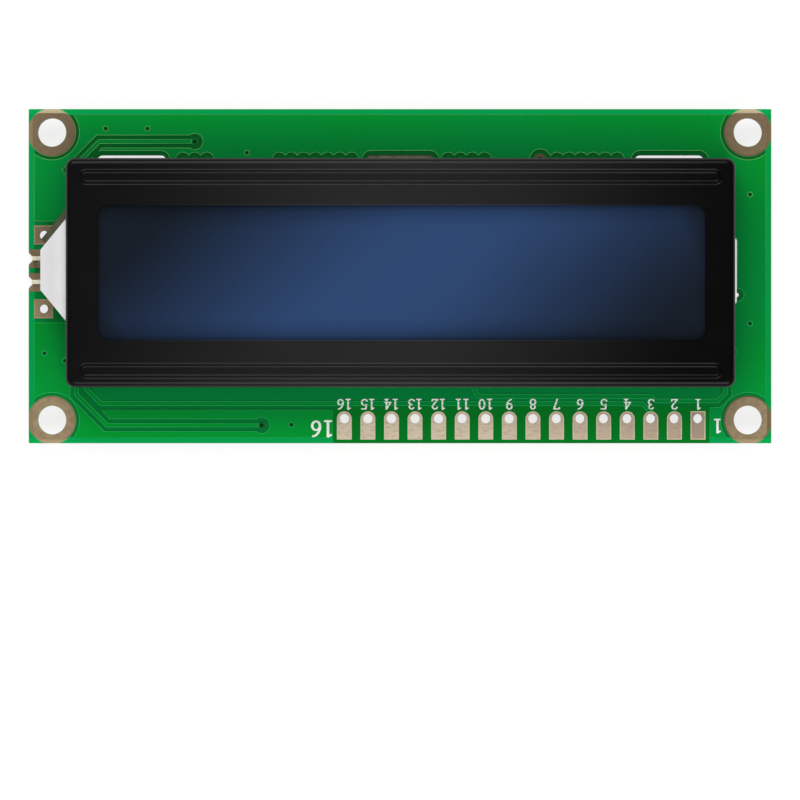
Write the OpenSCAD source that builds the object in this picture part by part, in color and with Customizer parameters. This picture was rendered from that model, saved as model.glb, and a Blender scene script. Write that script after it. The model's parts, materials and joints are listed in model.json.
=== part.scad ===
// Character LCD module: circuit board, stamped steel bezel, display cell, side-lit backlight
// and the parts on the rear of the board.
// The board lies flat, display upwards. The origin is the centre of the board in plan, at the
// lowest point of the rear side. +X runs along the long edge, +Y away from the connection pads.

/* [Circuit board] */
// Length of the board
board_length = 80; // [79:0.5:90]
// Width of the board
board_width = 36; // [35.5:0.5:42]
// Thickness of the board
board_thickness = 1.6; // [1:0.1:2.4]
// From the board's edge to the lands round its holes
copper_edge_gap = 0.45; // [0.2:0.05:0.6]
// From the board's edge to the copper under the mask
pour_edge_gap = 0.6; // [0.4:0.05:0.7]
// Height of the copper above the laminate
copper_height = 0.04; // [0.03:0.01:0.1]
// Width of the gap round tracks and pads in the copper
copper_gap = 0.48; // [0.2:0.02:0.5]
// Width of a track
track_width = 0.42; // [0.2:0.02:0.5]

/* [Mounting holes] */
// Diameter of the mounting holes
mount_hole_d = 3.1; // [2.5:0.1:3.4]
// Distance of a mounting hole's centre from each edge
mount_hole_edge = 2.5; // [2.5:0.1:3]
// Diameter of the plated land round a mounting hole
mount_land_d = 5; // [4.4:0.1:5.2]
// Thickness of the plating in the holes
plating = 0.08; // [0.05:0.01:0.15]

/* [Connection pads] */
// Number of connection pads
pin_count = 16; // [14:1:16]
// Spacing of the connection pads
pin_pitch = 2.54; // [2.54:0.01:2.6]
// Diameter of the connection holes
pin_hole_d = 1; // [0.8:0.05:1.1]
// Width of a connection pad
pin_pad_width = 1.6; // [1.5:0.05:1.9]
// Distance of the connection holes from the lower edge
pin_row_edge = 2.65; // [2.4:0.05:2.8]
// Distance of the first connection hole from the right edge
pin_end_edge = 7.9; // [7.5:0.1:8.2]
// Distance of a pad's square end from the lower edge
pin_pad_edge = 0.4; // [0.2:0.05:0.6]

/* [Bezel] */
// Length of the bezel
bezel_length = 71.5; // [70.8:0.1:71.6]
// Width of the bezel
bezel_width = 24.5; // [24:0.1:24.6]
// Height of the bezel above the board
bezel_height = 7; // [6.8:0.1:8.5]
// Thickness of the bezel's sheet steel
sheet = 0.5; // [0.3:0.05:0.55]
// Radius of the bezel's corners, seen from the front
bezel_corner_r = 1; // [0.8:0.05:1.4]
// Radius of the bend between the bezel's face and its walls
bezel_bend_r = 0.7; // [0.6:0.05:0.75]
// How far the bezel sits to the right of the board's centre
bezel_shift_x = 0.05; // [0:0.05:0.1]
// How far the bezel sits above the board's centre
bezel_shift_y = 0.25; // [0:0.05:0.3]
// Length of the window
window_length = 64.8; // [60:0.1:65.2]
// Width of the window
window_width = 14.4; // [13:0.1:14.8]
// Corner radius of the window
window_corner_r = 1.1; // [0.6:0.1:2]
// Window's middle right of the bezel's middle
window_shift = 0.13; // [0:0.01:0.2]
// How much the window's edge is broken by the stamping
window_edge = 0.12; // [0.05:0.01:0.2]

/* [Pressed ribs] */
// Width of a rib
rib_width = 1.8; // [1.5:0.05:2]
// Depth of a rib
rib_depth = 0.3; // [0.2:0.02:0.34]
// Width of each sloping side of a rib
rib_slope = 0.55; // [0.4:0.05:0.6]
// Distance from the bezel's long edge to a rib's middle
rib_edge = 1.9; // [1.75:0.05:2.1]
// Both ribs below their even places
rib_shift = 0.13; // [0:0.01:0.15]
// Distance from the bezel's short edge to a rib's end
rib_end = 1.3; // [1.2:0.05:2]

/* [Folded tabs] */
// Width of a tab
tab_width = 6; // [4:0.1:6.4]
// Length of a tab's folded end under the board
tab_fold = 1.6; // [1.2:0.1:1.9]
// Outer radius of a tab's fold
tab_fold_r = 0.6; // [0.56:0.02:0.7]
// Spacing of the tabs along the long walls
tab_pitch = 29; // [27:0.5:30]
// Length of the slots in the board
slot_length = 7.4; // [7:0.1:8]
// Free play of a tab in its slot
slot_play = 0.55; // [0.5:0.05:0.7]
// Clearance on the tight side of a slot
slot_clearance = 0.03; // [0.03:0.01:0.1]

/* [Display cell] */
// Thickness of each glass
glass_thickness = 1.1; // [0.7:0.1:1.1]
// Clearance between the glass and the bezel's walls
glass_clearance = 0.3; // [0.2:0.05:0.4]
// Width of the front glass's bare contact ledge on each long side
glass_ledge = 3; // [2.7:0.1:3.2]
// Gap between the glasses, filled at the rim by the seal
cell_gap = 0.1; // [0.05:0.01:0.15]
// Width of the seal
seal_width = 1; // [0.6:0.1:1.2]
// Thickness of a polarizer film
polarizer = 0.2; // [0.12:0.01:0.2]
// How far the polarizers stop short of the rear glass's edges
polarizer_inset = 0.4; // [0.2:0.05:0.6]

/* [Rubber connectors] */
// Width of a connector strip
strip_width = 2; // [1.6:0.1:2.2]
// How far a strip stops short of the glass's ends
strip_inset = 2; // [1.5:0.1:3]
// Spacing of the contact fingers
finger_pitch = 1.3; // [1.3:0.05:1.5]
// Number of contact fingers in each row
finger_count = 48; // [30:2:48]
// Width of a contact finger
finger_width = 0.7; // [0.5:0.05:0.8]
// Length of a contact finger
finger_length = 2.4; // [2.2:0.1:2.6]

/* [Backlight] */
// Thickness of the tape under the backlight
tape = 0.1; // [0.05:0.01:0.15]
// How far the tape shows beside the wing
tape_overhang = 0.85; // [0.3:0.05:0.9]
// Thickness of the reflector film
reflector_thickness = 0.2; // [0.1:0.02:0.25]
// Thickness of the diffuser film
diffuser_thickness = 0.2; // [0.1:0.02:0.3]
// Clearance between the backlight and the bezel's end wall
guide_clearance = 0.4; // [0.3:0.05:0.6]
// Distance from the board's left edge to the wing's narrow end
wing_edge = 1.45; // [1.2:0.05:1.5]
// Width of the wing's narrow end
wing_end_width = 4.3; // [4.2:0.1:4.8]
// How much each side of the wing widens for each millimetre inwards
wing_flare = 1.22; // [1.1:0.02:1.3]
// How far the wing's middle lies above the bezel's middle
wing_shift = 0.36; // [0.3:0.02:0.5]
// Clearance between the wing and the opening in the bezel's wall
wing_clearance = 0.3; // [0.2:0.05:0.4]

/* [Backlight lamp] */
// Diameter of the lamp
lamp_d = 2.2; // [1.8:0.1:2.3]
// Length of the lamp's body without its domed nose
lamp_length = 1.6; // [1.2:0.1:2]
// Width of the lamp's flange
lamp_flange_width = 3.6; // [3.4:0.1:3.8]
// Clearance round the lamp in the light guide
lamp_clearance = 0.1; // [0.05:0.01:0.2]
// Spacing of the lamp's leads
lead_pitch = 2.54; // [2.4:0.02:2.6]
// Width of a lead
lead_width = 0.46; // [0.4:0.02:0.5]
// How far a lead stands out behind the board
lead_tail = 0.6; // [0.4:0.05:0.8]
// Width of an edge notch at its mouth
notch_mouth = 1.3; // [1.2:0.05:1.4]
// Depth of the notch's tapered mouth
notch_taper = 0.3; // [0.25:0.01:0.34]
// Clearance between a lead and its notch
notch_clearance = 0.08; // [0.05:0.01:0.12]
// Width of the bare pad round a notch
notch_pad_width = 2; // [1.8:0.05:2.1]

/* [Backlight pads] */
// Width of the square backlight pads
light_pad_width = 2.05; // [1.8:0.05:2.1]
// Hole diameter of the backlight pads
light_hole_d = 0.95; // [0.8:0.05:1]
// Distance of the backlight pads from the left edge
light_pad_edge = 1.6; // [1.5:0.05:1.7]
// Spacing of the backlight pads
light_pad_pitch = 7.95; // [7.9:0.05:8.2]
// Pads' middle below the wing's middle
light_pad_shift = 0.15; // [0:0.05:0.3]

/* [Rear side] */
// Width of a track on the rear
rear_track = 0.36; // [0.2:0.02:0.4]
// Diameter of the epoxy domes
dome_d = 13; // [10:0.5:14]
// Height of the epoxy domes
dome_height = 1.6; // [1.3:0.1:2]
// Diameter of a dome's flat middle
dome_flat_d = 5.5; // [5:0.1:6]
// Spacing of the domes
dome_pitch = 31; // [28:0.5:34]
// How far the domes lie above the board's centre
dome_shift = 0.4; // [0:0.1:1]
// Length of a chip resistor
chip_length = 2; // [1.6:0.05:2.1]
// Width of a chip resistor
chip_width = 1.25; // [0.8:0.05:1.3]
// Height of a chip resistor
chip_height = 0.55; // [0.4:0.05:0.65]
// Spacing of the chip resistors
chip_pitch = 3.2; // [3:0.1:3.4]
// Number of chip resistors
chip_count = 6; // [3:1:6]

/* [Hidden] */
$fn = 48;
SPAN = 60; // reach of cutting tools
OVERCUT = 1; // how far a cut or a joined solid runs on past a face

// Heights, from the rear of the domes to the bezel's face
rear_z = dome_height;
front_z = rear_z + board_thickness;
deck_z = front_z + copper_height;
tin = 0.02; // plating that stands proud on the bare pads
land_height = copper_height + tin;
face_z = front_z + bezel_height;
front_glass_z = face_z - sheet - rib_depth - glass_thickness;
rear_glass_z = front_glass_z - cell_gap - glass_thickness;
rear_polarizer_z = rear_glass_z - polarizer;
diffuser_z = rear_polarizer_z - diffuser_thickness;
tape_z = front_z + land_height;
reflector_z = tape_z + tape;
guide_z = reflector_z + reflector_thickness;
guide_height = diffuser_z - guide_z;

// Board, in plan
half_length = board_length / 2;
half_width = board_width / 2;
mount_x = half_length - mount_hole_edge;
mount_y = half_width - mount_hole_edge;
pin_y = pin_row_edge - half_width;
function pin_x(n) = half_length - pin_end_edge - n * pin_pitch;
pin_pad_reach = pin_row_edge - pin_pad_edge;

// Bezel, in plan
wall_x = bezel_length / 2;
wall_y = bezel_width / 2;
rib_y = wall_y - rib_edge;
rib_span = bezel_length - 2 * rib_end - rib_width;
slot_width = slot_clearance + sheet + slot_play;
side_tab_shift = 0.35;
tab_clearance = 1; // from a folded tab to the rear copper
// Each tab: turn of its wall, place along it, distance of the wall, tight on the outer side
LONG_TABS = concat(
    [for (i = [-1:1]) [0, i * tab_pitch, wall_y, false]],
    [for (i = [-1:1]) [180, i * tab_pitch, wall_y, true]]
);
SIDE_TAB = [-90, -side_tab_shift, wall_x, false];
TABS = concat(LONG_TABS, [SIDE_TAB]);
EARTH_TAB = LONG_TABS[1];

// Display cell and connector strips, in plan
glass_length = bezel_length - 2 * sheet - 2 * glass_clearance;
glass_width = bezel_width - 2 * sheet - 2 * glass_clearance;
rear_glass_width = glass_width - 2 * glass_ledge;
strip_length = glass_length - 2 * strip_inset;
strip_y = (glass_width - glass_ledge) / 2;

// Backlight, in plan
wing_x = wing_edge - half_length;
wing_y = bezel_shift_y + wing_shift;
guide_end_x = bezel_shift_x + wall_x - sheet - guide_clearance;
function wing_half(x) = wing_end_width / 2 + wing_flare * (x - wing_x);
wing_slant = atan(wing_flare);
wall_opening_half = wing_half(bezel_shift_x - wall_x + sheet) + tape_overhang / cos(wing_slant)
    + wing_clearance;
wall_opening_z = diffuser_z + wing_clearance;
light_pad_x = light_pad_edge - half_length;
light_pad_y = wing_y - light_pad_shift;
LIGHT_PADS = [for (side = [-1, 1]) [light_pad_x, light_pad_y + side * light_pad_pitch / 2]];

// Backlight lamp
lamp_z = guide_z + guide_height / 2;
lamp_flange = 0.8;
lead_inset = 0.15; // from the taper's end to the lead
lead_x = notch_taper + lead_inset - half_length;
lead_bottom_z = rear_z - lead_tail;
LEADS = [for (side = [-1, 1]) wing_y + side * lead_pitch / 2];
notch_pad_edge = 0.05;

// Rear parts
DOMES = [for (side = [-1, 1]) [side * dome_pitch / 2, dome_shift]];
chip_row_rise = 4.4; // above the row of connection pads
chip_row_y = pin_y + chip_row_rise;
chip_cap = 0.35;
chip_pad_width = 0.9;
CHIPS = [for (i = [0:chip_count - 1])
    [DOMES[0][0] + (i - (chip_count - 1) / 2) * chip_pitch, chip_row_y]];
capacitor_shift = 3;
CAPACITORS = [for (side = [-1, 1]) [0, dome_shift + side * capacitor_shift]];
jumper_pitch = 3;
jumper_x = DOMES[1][0] + 10;
jumper_y = bezel_shift_y + wall_y - sheet - tab_fold - tab_clearance
    - (chip_length + chip_pad_width) / 2;
JUMPERS = [for (i = [0:2]) [jumper_x + i * jumper_pitch, jumper_y]];

// Vias: place and outer radius
via_r = 0.27;
via_hole_r = 0.15;
signal_via_r = 0.4;
via_row_gap = 0.1; // from the bezel's wall to the row's middle
via_row_y = bezel_shift_y + wall_y + via_row_gap;
VIA_GROUPS = [[-18, -16], [-10, -4], [4, 7], [13, 18]];
DRIVER_VIAS = [for (g = VIA_GROUPS, k = [g[0]:g[1]]) [k * finger_pitch, via_row_y, via_r]];
SIDE_VIA = [bezel_shift_x + wall_x - 0.25, -8.2, via_r];
// A via that the side slot was milled through, so only its edge and its gap are left
CUT_VIA = [bezel_shift_x + wall_x + slot_play, -2, 0.22];
EARTH_VIA = [15.1, via_row_y - 0.1, 0.7];
STITCH_VIAS = [
    [8.3 - half_length, half_width - 2.1, via_r],
    [12.8 - half_length, half_width - 2.1, via_r],
    [23.5 - half_length, half_width - 4.7, via_r],
    [1.7 - half_length, 9.7 - half_width, via_r],
    [3.9 - half_length, 8.9 - half_width, via_r],
    [28.3 - half_length, 2 - half_width, via_r],
    [half_length - 2.3, half_width - 9.2, via_r],
    [half_length - 2.3, 12.9 - half_width, via_r]
];

// Tracks on the front: a straight run down from under the bezel, a 45 degree bend, a run along
bezel_floor_y = bezel_shift_y - wall_y;
under = 0.8; // how far the copper runs on under the bezel
function down_right(x, y, bend_x, end_x) = [
    [x, bezel_floor_y + under],
    [x, y + bend_x - x],
    [bend_x, y],
    [end_x, y]
];
// Ground-side track, from the lower left corner of the bezel to the contrast pad
sense_y = 4.28 - half_width;
sense_bend = 0.9;
contrast_x = pin_x(2);
SENSE = concat(
    down_right(6.25 - half_length, sense_y, 7.8 - half_length, contrast_x - sense_bend),
    [[contrast_x, sense_y - sense_bend], [contrast_x, pin_y]]
);
// Outer track, from the same corner to a via left of the pads
supply_y = 1.95 - half_width;
SUPPLY_VIA = [25.1 - half_length, supply_y, signal_via_r];
SUPPLY = down_right(5.15 - half_length, supply_y, 8.45 - half_length, SUPPLY_VIA[0]);
// Track above the pads, up to the lower right corner of the bezel
clock_x = 7.5;
clock_end_x = half_length - 4.95;
clock_y = 5.08 - half_width;
clock_drift = 0.9; // sideways, on its way down from the bezel
clock_step = 0.5;
clock_bend = 0.85;
CLOCK = [
    [clock_x, bezel_floor_y + under],
    [clock_x + clock_drift, clock_y],
    [contrast_x, clock_y],
    [contrast_x + clock_step, clock_y - clock_step],
    [clock_end_x - clock_bend, clock_y - clock_step],
    [clock_end_x, clock_y - clock_step + clock_bend],
    [clock_end_x, bezel_floor_y + under]
];
// Track above the bezel's upper left corner
reset_y = half_width - 3.5;
reset_bend_x = 7.6 - half_length;
reset_fall = 3.2;
RESET_VIA = [17.9 - half_length, reset_y, signal_via_r];
RESET = [
    [RESET_VIA[0], reset_y],
    [reset_bend_x, reset_y],
    [reset_bend_x - reset_fall, reset_y - reset_fall]
];
FRONT_TRACKS = [SENSE, SUPPLY, CLOCK, RESET];
SIGNAL_VIAS = concat(DRIVER_VIAS, [SIDE_VIA, EARTH_VIA, SUPPLY_VIA, RESET_VIA]);
VIAS = concat(SIGNAL_VIAS, STITCH_VIAS);

// Tracks on the rear: pads four to eleven fan in to the right dome, the chips to the left one
bus_first = 3;
bus_last = 10;
bus_pitch = rear_track + 0.5;
chip_bus_pitch = rear_track + 0.75;
fan_start = 1.2; // straight run before a track turns towards its dome
function fan(x, y, centre_x, index, middle, pitch) =
    let (aim = centre_x + (index - middle) * pitch)
    [[x, y], [x, y + fan_start], [aim, y + fan_start + abs(x - aim)], [aim, dome_shift]];
PIN_BUS = [for (n = [bus_first:bus_last])
    fan(pin_x(n), pin_y, DOMES[1][0], bus_last - n, (bus_last - bus_first) / 2, bus_pitch)];
CHIP_BUS = [for (i = [0:len(CHIPS) - 1])
    fan(CHIPS[i][0], chip_row_y + chip_length / 2, DOMES[0][0], i, (len(CHIPS) - 1) / 2,
        chip_bus_pitch)];

// ---- plain shapes -------------------------------------------------------------------------

function unit(v) = v / norm(v);
function left_of(v) = [-v[1], v[0]];
// Corner of a strip's edge beside point i of a path, h to the left of it
function edge_point(path, i, h) =
    let (last = len(path) - 1,
         before = left_of(unit(path[max(i, 1)] - path[max(i, 1) - 1])),
         after = left_of(unit(path[min(i, last - 1) + 1] - path[min(i, last - 1)])))
    path[i] + h * (before + after) / (1 + before * after);

module strip(path, width) {
    polygon(concat(
        [for (i = [0:len(path) - 1]) edge_point(path, i, width / 2)],
        [for (i = [len(path) - 1:-1:0]) edge_point(path, i, -width / 2)]
    ));
}

module stadium(length, width) {
    square([length - width, width], center = true);
    for (side = [-1, 1]) translate([side * (length - width) / 2, 0]) circle(d = width);
}

module rounded_rectangle(length, width, r) {
    square([length - 2 * r, width], center = true);
    square([length, width - 2 * r], center = true);
    for (x = [-1, 1], y = [-1, 1])
        translate([x * (length / 2 - r), y * (width / 2 - r)]) circle(r = r);
}

module at_bezel() {
    translate([bezel_shift_x, bezel_shift_y]) children();
}

module at_mounts() {
    for (x = [-1, 1], y = [-1, 1]) translate([x * mount_x, y * mount_y]) children();
}

// Places children with +Y outwards and the origin on the wall's outer face
module at_tab(tab) {
    at_bezel() rotate(tab[0]) translate([tab[1], tab[2]]) children();
}

module slab(z, height) {
    translate([0, 0, z]) linear_extrude(height) children();
}

// For cuts through everything
module through() {
    slab(-OVERCUT, SPAN) children();
}

// Solid from the front of a plated hole's land to the rear of it
module plated(z_grow = land_height) {
    slab(rear_z - z_grow, board_thickness + 2 * z_grow) children();
}

// ---- circuit board ------------------------------------------------------------------------

module board_outline(inset = 0) {
    square([board_length - 2 * inset, board_width - 2 * inset], center = true);
}

// A slot seen from its tab. The lower tabs bear on the outer side of their slots
module slot_shape(tab, grow = 0) {
    inner = tab[3] ? slot_width : sheet + slot_clearance;
    translate([0, slot_width / 2 - inner])
        stadium(slot_length + 2 * grow, slot_width + 2 * grow);
}

module tab_slot(tab, grow = 0) {
    at_tab(tab) slot_shape(tab, grow);
}

module lead_notches() {
    throat = lead_width / 2 + notch_clearance;
    for (y = LEADS) translate([-half_length, y]) {
        polygon([
            [-OVERCUT, -notch_mouth / 2], [0, -notch_mouth / 2], [notch_taper, -throat],
            [notch_taper, throat], [0, notch_mouth / 2], [-OVERCUT, notch_mouth / 2]
        ]);
        translate([0, -throat])
            square([notch_taper + lead_inset + lead_width + notch_clearance, 2 * throat]);
    }
}

module pin_holes(r) {
    for (n = [0:pin_count - 1]) translate([pin_x(n), pin_y]) circle(r = r);
}

module via_holes() {
    for (v = VIAS) translate([v[0], v[1]]) circle(r = v[2]);
}

module circuit_board() {
    color("seagreen") slab(rear_z, board_thickness) difference() {
        board_outline();
        at_mounts() circle(d = mount_hole_d + 2 * plating);
        pin_holes(pin_hole_d / 2 + plating);
        for (p = LIGHT_PADS) translate(p) circle(d = light_hole_d + 2 * plating);
        via_holes();
        for (tab = TABS) tab_slot(tab);
        translate([CUT_VIA[0], CUT_VIA[1]]) circle(r = CUT_VIA[2]);
        lead_notches();
    }
}

// ---- plating and pads ---------------------------------------------------------------------

module mounting_lands() {
    color([0.58, 0.48, 0.36]) difference() {
        union() {
            plated(0) at_mounts() circle(d = mount_hole_d + 2 * plating);
            for (z = [rear_z - land_height, front_z]) slab(z, land_height) intersection() {
                at_mounts() circle(d = mount_land_d);
                board_outline(copper_edge_gap);
            }
        }
        through() at_mounts() circle(d = mount_hole_d);
    }
}

// Outline of a connection pad: round towards the bezel, square towards the edge
module connection_pad(squared) {
    translate([-pin_pad_width / 2, -pin_pad_reach]) square([pin_pad_width, pin_pad_reach]);
    circle(d = pin_pad_width);
    if (squared) square(pin_pad_width, center = true);
}

module connection_pads() {
    color([0.85, 0.74, 0.62]) difference() {
        union() {
            plated(0) pin_holes(pin_hole_d / 2 + plating);
            for (n = [0:pin_count - 1]) translate([pin_x(n), pin_y]) {
                slab(front_z, land_height) connection_pad(n == 0);
                slab(rear_z - land_height, land_height) connection_pad(n == 0);
            }
        }
        through() pin_holes(pin_hole_d / 2);
    }
}

module backlight_pads() {
    color([0.58, 0.48, 0.36]) difference() {
        for (p = LIGHT_PADS) translate(p) {
            plated(0) circle(d = light_hole_d + 2 * plating);
            for (z = [rear_z - land_height, front_z])
                slab(z, land_height) square(light_pad_width, center = true);
        }
        through() for (p = LIGHT_PADS) translate(p) circle(d = light_hole_d);
    }
}

module lead_pads() {
    color([0.58, 0.48, 0.36]) for (z = [rear_z - land_height, front_z])
        slab(z, land_height) difference() {
            for (y = LEADS) translate([-half_length + notch_pad_edge, y - notch_pad_width / 2])
                square([wing_edge - notch_pad_edge, notch_pad_width]);
            lead_notches();
        }
}

module vias() {
    color([0.45, 0.42, 0.25]) plated(copper_height) difference() {
        via_holes();
        for (v = VIAS) translate([v[0], v[1]]) circle(r = v[2] > via_r ? v[2] / 2 : via_hole_r);
    }
}

module contact_fingers(side) {
    slab(front_z, copper_height) at_bezel() for (i = [0:finger_count - 1])
        translate([(i - (finger_count - 1) / 2) * finger_pitch, side * strip_y])
            square([finger_width, finger_length], center = true);
}

module upper_contact_fingers() {
    color("gold") contact_fingers(1);
}

module lower_contact_fingers() {
    color("gold") contact_fingers(-1);
}

// ---- copper under the mask ----------------------------------------------------------------

// Plain laminate: under the backlight, round its pads, below the bezel and round the pads
module copper_free_fields() {
    at_bezel() square([bezel_length - 2 * under, bezel_width - 2 * under], center = true);
    bay_half = (light_pad_pitch + light_pad_width) / 2 + copper_gap;
    translate([-half_length, light_pad_y - bay_half])
        square([bezel_shift_x - wall_x + under + half_length, 2 * bay_half]);
    translate([SENSE[0][0], sense_y])
        square([clock_end_x - SENSE[0][0], bezel_floor_y + under - sense_y]);
    header_field(sense_y);
}

// Room in the copper for the row of connection pads, open towards the board's edge
module header_field(top) {
    left = pin_x(pin_count - 1) - pin_pad_width / 2 - copper_gap;
    right = pin_x(0) + pin_pad_width / 2 + copper_gap;
    translate([left, -half_width]) square([right - left, top + half_width]);
}

// Room in the rear copper for a folded tab and its solder
module tab_field(tab) {
    inwards = sheet + tab_fold + tab_clearance;
    at_tab(tab) translate([-slot_length / 2 - copper_gap, -inwards])
        square([slot_length + 2 * copper_gap, inwards + slot_play + tab_clearance]);
}

// Gap in the copper round a track, also past both of its ends
module track_field(path, width) {
    last = len(path) - 1;
    strip(concat(
        [path[0] + copper_gap * unit(path[0] - path[1])],
        [for (i = [1:last - 1]) path[i]],
        [path[last] + copper_gap * unit(path[last] - path[last - 1])]
    ), width + 2 * copper_gap);
}

module front_copper() {
    color("green") slab(front_z, copper_height) difference() {
        union() {
            difference() {
                board_outline(pour_edge_gap);
                copper_free_fields();
                for (path = FRONT_TRACKS) track_field(path, track_width);
                for (v = concat(SIGNAL_VIAS, [CUT_VIA]))
                    translate([v[0], v[1]]) circle(r = v[2] + copper_gap);
                for (tab = LONG_TABS) tab_slot(tab, copper_gap);
                at_mounts() circle(d = mount_land_d + 2 * copper_gap);
            }
            for (path = FRONT_TRACKS) strip(path, track_width);
        }
        via_holes();
        tab_slot(SIDE_TAB);
        translate([contrast_x, pin_y]) connection_pad(false);
    }
}

module chip_pad_pair(length, grow = 0) {
    for (side = [-1, 1]) translate([0, side * length / 2])
        square([chip_width + 2 * grow, chip_pad_width + 2 * grow], center = true);
}

module rear_copper() {
    color("green") slab(rear_z - copper_height, copper_height) difference() {
        union() {
            difference() {
                board_outline(pour_edge_gap);
                for (path = concat(PIN_BUS, CHIP_BUS)) track_field(path, rear_track);
                header_field(pin_y + pin_pad_width / 2 + copper_gap);
                for (p = DOMES) translate(p) circle(d = dome_d + 2 * copper_gap);
                for (p = concat(CHIPS, CAPACITORS, JUMPERS)) translate(p)
                    chip_pad_pair(chip_length, copper_gap);
                for (p = LIGHT_PADS) translate(p)
                    square(light_pad_width + 2 * copper_gap, center = true);
                translate([-half_length, wing_y - lead_pitch / 2 - notch_pad_width / 2 - copper_gap])
                    square([wing_edge + copper_gap, lead_pitch + notch_pad_width + 2 * copper_gap]);
                for (tab = TABS) tab_field(tab);
                at_mounts() circle(d = mount_land_d + 2 * copper_gap);
            }
            for (path = concat(PIN_BUS, CHIP_BUS)) strip(path, rear_track);
        }
        via_holes();
        for (n = [0:pin_count - 1]) translate([pin_x(n), pin_y]) connection_pad(n == 0);
        for (p = CHIPS) translate(p) chip_pad_pair(chip_length);
        for (p = DOMES) translate(p) circle(d = dome_d);
    }
}

// ---- bezel --------------------------------------------------------------------------------

// Block with round corners in plan and a round bend along its top edges
module pressed_block(length, width, height, corner, bend) {
    rotate([90, 0, 90]) linear_extrude(length - 2 * corner, center = true)
        bent_profile(width, height, bend);
    rotate([90, 0, 0]) linear_extrude(width - 2 * corner, center = true)
        bent_profile(length, height, bend);
    for (x = [-1, 1], y = [-1, 1])
        translate([x * (length / 2 - corner), y * (width / 2 - corner), 0])
            rotate_extrude() intersection() {
                bent_profile(2 * corner, height, bend);
                square([corner, height]);
            }
}

module bent_profile(width, height, bend) {
    translate([-width / 2, 0]) square([width, height - bend]);
    translate([bend - width / 2, 0]) square([width - 2 * bend, height]);
    for (side = [-1, 1]) translate([side * (width / 2 - bend), height - bend]) circle(r = bend);
}

// Cross-section of a rib: each side falls in a smooth step to a flat floor
RIB_STEPS = 6;
RIB_SIDE = [for (i = [0:RIB_STEPS])
    [rib_width / 2 - rib_slope * i / RIB_STEPS, -rib_depth * (1 - cos(180 * i / RIB_STEPS)) / 2]];

module rib(top, rise) {
    upper = [[0, rise], [rib_width / 2, rise]];
    half_section = concat(upper, RIB_SIDE, [[0, -rib_depth]]);
    mirrored = [for (i = [len(half_section) - 2:-1:1]) [-half_section[i][0], half_section[i][1]]];
    translate([0, 0, top]) {
        rotate([90, 0, 90]) linear_extrude(rib_span, center = true)
            polygon(concat(half_section, mirrored));
        for (side = [-1, 1]) translate([side * rib_span / 2, 0, 0])
            rotate_extrude() polygon(half_section);
    }
}

module ribs(top, rise) {
    for (side = [-1, 1]) translate([0, side * rib_y - rib_shift, 0]) rib(top, rise);
}

// Window: straight through, with its upper edge broken all round
module window() {
    slab(face_z - 2 * sheet - rib_depth, SPAN)
        rounded_rectangle(window_length, window_width, window_corner_r);
    flare = 2 * window_edge;
    translate([0, 0, face_z - window_edge]) {
        rotate([90, 0, 90]) linear_extrude(window_length - 2 * window_corner_r, center = true)
            flared_profile(window_width, flare);
        rotate([90, 0, 0]) linear_extrude(window_width - 2 * window_corner_r, center = true)
            flared_profile(window_length, flare);
        for (x = [-1, 1], y = [-1, 1]) translate([
            x * (window_length / 2 - window_corner_r), y * (window_width / 2 - window_corner_r), 0
        ]) cylinder(r1 = window_corner_r, r2 = window_corner_r + flare, h = flare);
    }
}

module flared_profile(width, flare) {
    polygon([
        [-width / 2, 0], [width / 2, 0], [width / 2 + flare, flare], [-width / 2 - flare, flare]
    ]);
}

// A tab's outline from its side: down through the board, then folded inwards under it
module tab_side() {
    bottom = rear_z - sheet;
    difference() {
        union() {
            translate([-sheet, bottom]) square([sheet, deck_z + OVERCUT - bottom]);
            translate([-sheet - tab_fold, bottom]) square([sheet + tab_fold, sheet]);
        }
        difference() {
            translate([-tab_fold_r, bottom - OVERCUT]) square(tab_fold_r + OVERCUT);
            translate([-tab_fold_r, bottom + tab_fold_r]) circle(r = tab_fold_r);
            translate([-SPAN, bottom]) square([SPAN - tab_fold_r, SPAN]);
        }
    }
}

module tab_solid(tab) {
    at_tab(tab) rotate([90, 0, 90]) linear_extrude(tab_width, center = true) tab_side();
}

module bezel() {
    color([0.07, 0.07, 0.075]) {
        difference() {
            at_bezel() difference() {
                union() {
                    difference() {
                        translate([0, 0, deck_z])
                            pressed_block(bezel_length, bezel_width, face_z - deck_z,
                                bezel_corner_r, bezel_bend_r);
                        translate([0, 0, deck_z - OVERCUT])
                            pressed_block(bezel_length - 2 * sheet, bezel_width - 2 * sheet,
                                face_z - sheet - deck_z + OVERCUT, bezel_corner_r - sheet,
                                bezel_bend_r - sheet);
                    }
                    ribs(face_z - sheet, 0);
                }
                ribs(face_z, OVERCUT);
                translate([window_shift, 0, 0]) window();
            }
            translate([-half_length, wing_y - wall_opening_half, 0])
                cube([half_length - wall_x + sheet + OVERCUT, 2 * wall_opening_half, wall_opening_z]);
        }
        for (tab = TABS) tab_solid(tab);
    }
}

module earth_solder() {
    recess = 0.1;
    fillet = 0.8;
    fillet_inset = 0.5;
    color([0.5, 0.47, 0.4]) at_tab(EARTH_TAB) {
        slab(rear_z, board_thickness - recess) intersection() {
            slot_shape(EARTH_TAB);
            translate([-slot_length / 2, 0]) square([slot_length, slot_play]);
        }
        rotate([90, 0, 90]) linear_extrude(tab_width - 2 * fillet_inset, center = true)
            polygon([[0, rear_z], [slot_play + fillet, rear_z], [0, rear_z - fillet / 4]]);
    }
}

// ---- display cell -------------------------------------------------------------------------

module cell_plate(z, thickness, width, inset = 0) {
    slab(z, thickness) at_bezel()
        square([glass_length - 2 * inset, width - 2 * inset], center = true);
}

module front_polarizer() {
    color("navy") cell_plate(front_glass_z + glass_thickness, polarizer, rear_glass_width,
        polarizer_inset);
}

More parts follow.
